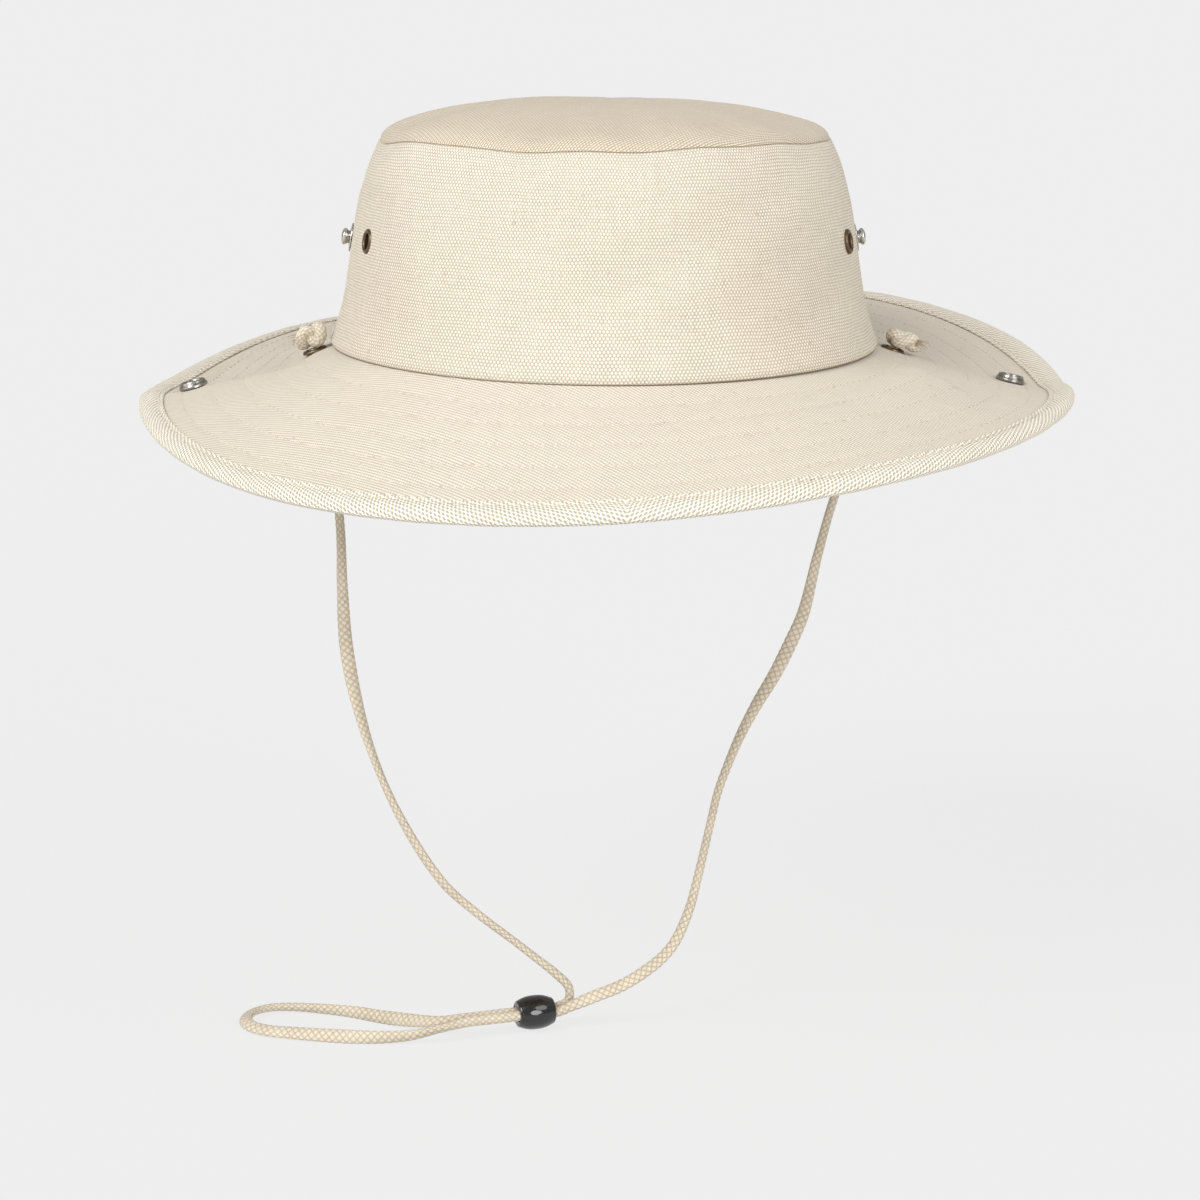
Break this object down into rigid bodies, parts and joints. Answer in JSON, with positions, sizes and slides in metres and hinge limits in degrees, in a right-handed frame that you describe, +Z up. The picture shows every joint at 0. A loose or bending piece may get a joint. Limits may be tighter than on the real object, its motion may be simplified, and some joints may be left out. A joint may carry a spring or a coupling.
{
  "type": "boonie hat",
  "caption": "Canvas boonie hat with a round stitched brim, sides that snap up to the crown, vent eyelets, and a chin cord with a sliding bead.",
  "frame": {"origin": "centre of the head opening, at the foot of the crown where it meets the brim", "axes": "+Z up through the crown, -Y towards the hat's front, +X towards the wearer's left"},
  "size_m": [0.2916, 0.3206, 0.2865],
  "materials": {
    "canvas": "unbleached cotton duck, coarse plain weave, matt",
    "lining": "plain cotton twill, matt",
    "binding": "bias-cut cotton tape folded over the rim, matt",
    "cord": "braided cotton cord, matt",
    "antique_brass": "darkened brass, half gloss",
    "nickel": "nickel plated, polished",
    "black_plastic": "polished black"
  },
  "bodies": {
    "root": {"binding_back": "binding", "binding_front": "binding", "brim_interlining": "lining", "brim_top_ply": "canvas", "brim_under_ply": "canvas", "chin_cord": "cord", "crown_side": "canvas", "crown_tip": "canvas", "left_back_vent_eyelet": "antique_brass", "left_back_vent_washer": "antique_brass", "left_cord_eyelet": "antique_brass", "left_cord_washer": "antique_brass", "left_front_vent_eyelet": "antique_brass", "left_front_vent_washer": "antique_brass", "left_knot": "cord", "left_snap_stud": "nickel", "left_stud_post": "nickel", "right_back_vent_eyelet": "antique_brass", "right_back_vent_washer": "antique_brass", "right_cord_eyelet": "antique_brass", "right_cord_washer": "antique_brass", "right_front_vent_eyelet": "antique_brass", "right_front_vent_washer": "antique_brass", "right_knot": "cord", "right_snap_stud": "nickel", "right_stud_post": "nickel", "sweatband": "lining"},
    "left_flap": {"left_flap_binding": "binding", "left_flap_interlining": "lining", "left_flap_top_ply": "canvas", "left_flap_under_ply": "canvas", "left_snap_socket": "nickel", "left_socket_cap": "nickel"},
    "right_flap": {"right_flap_binding": "binding", "right_flap_interlining": "lining", "right_flap_top_ply": "canvas", "right_flap_under_ply": "canvas", "right_snap_socket": "nickel", "right_socket_cap": "nickel"},
    "bead": {"cord_bead": "black_plastic"}
  },
  "joints": [
    {"name": "left_fold", "type": "hinge", "parent": "root", "child": "left_flap", "pos_m": [-0.0946, 0, -0.0012], "axis": [0, 0.9976, 0.0698], "range_deg": [0, 126.3], "stiffness_Nm_per_rad": 0.03},
    {"name": "right_fold", "type": "hinge", "parent": "root", "child": "right_flap", "pos_m": [0.0946, 0, -0.0012], "axis": [0, -0.9976, -0.0698], "range_deg": [0, 122.4], "stiffness_Nm_per_rad": 0.03},
    {"name": "bead_slide", "type": "slide", "parent": "root", "child": "bead", "axis": [-0.9501, -0.312, 0], "range_m": [0, 0.015]}
  ]
}
